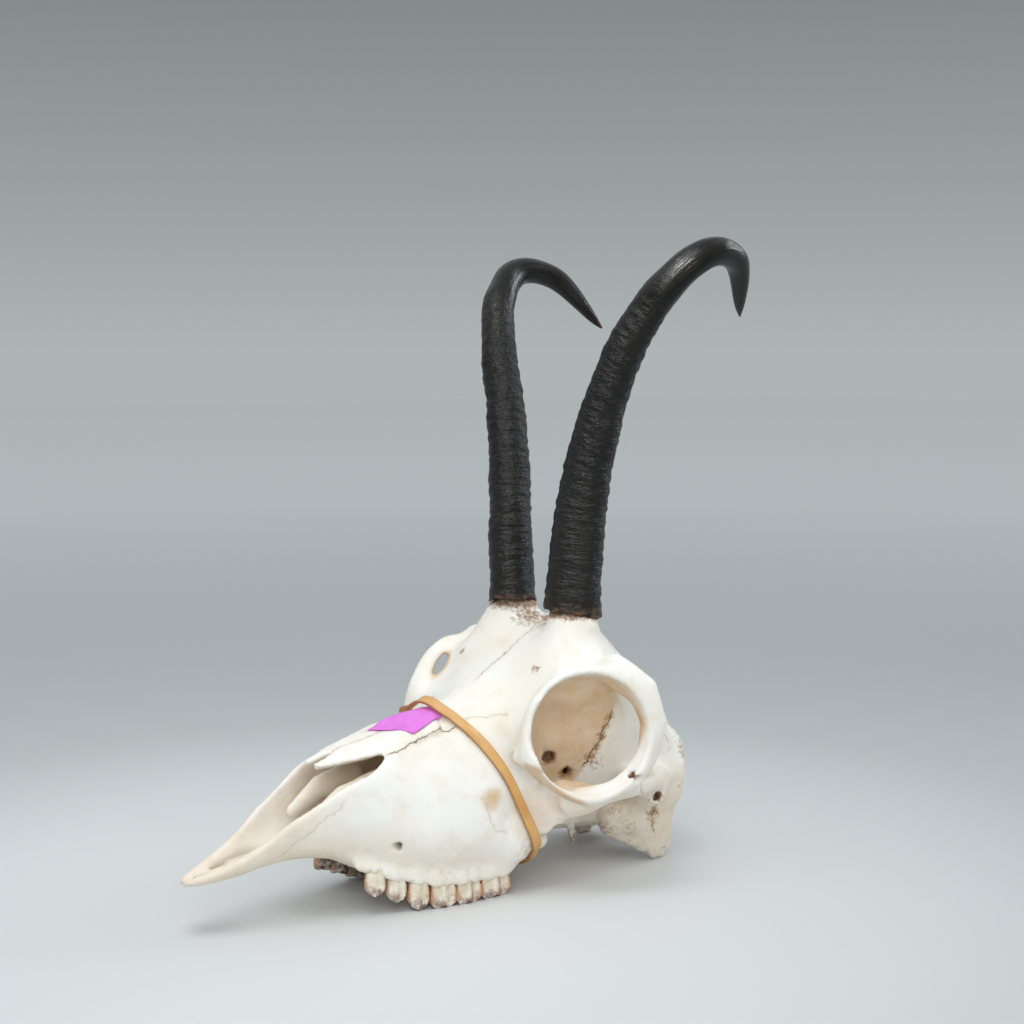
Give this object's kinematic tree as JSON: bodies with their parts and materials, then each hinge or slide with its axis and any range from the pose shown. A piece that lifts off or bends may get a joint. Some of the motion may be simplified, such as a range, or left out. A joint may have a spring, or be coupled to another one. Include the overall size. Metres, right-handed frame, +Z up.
{
  "type": "chamois skull with horns",
  "caption": "Chamois skull without its lower jaw, with black hooked horn sheaths, cheek teeth, and a rubber band holding a paper label.",
  "frame": {"origin": "on the surface it stands on, under the middle of the whole object's bounding box", "axes": "+Z up along the horns, -Y towards the snout, +X towards the animal's left side"},
  "size_m": [0.1321, 0.2195, 0.241],
  "materials": {
    "bone": "matt, dry and cleaned",
    "horn": "ringed and rough below, smooth and half gloss above",
    "tooth": "half gloss enamel with brown stains",
    "rubber": "matt",
    "paper": "matt"
  },
  "bodies": {
    "root": {"skull": "bone", "horn_sheath_left": "horn", "horn_sheath_right": "horn", "premolar_2_left": "tooth", "premolar_3_left": "tooth", "premolar_4_left": "tooth", "molar_1_left": "tooth", "molar_2_left": "tooth", "molar_3_left": "tooth", "premolar_2_right": "tooth", "premolar_3_right": "tooth", "premolar_4_right": "tooth", "molar_1_right": "tooth", "molar_2_right": "tooth", "molar_3_right": "tooth", "rubber_band": "rubber", "paper_label": "paper"}
  },
  "joints": []
}
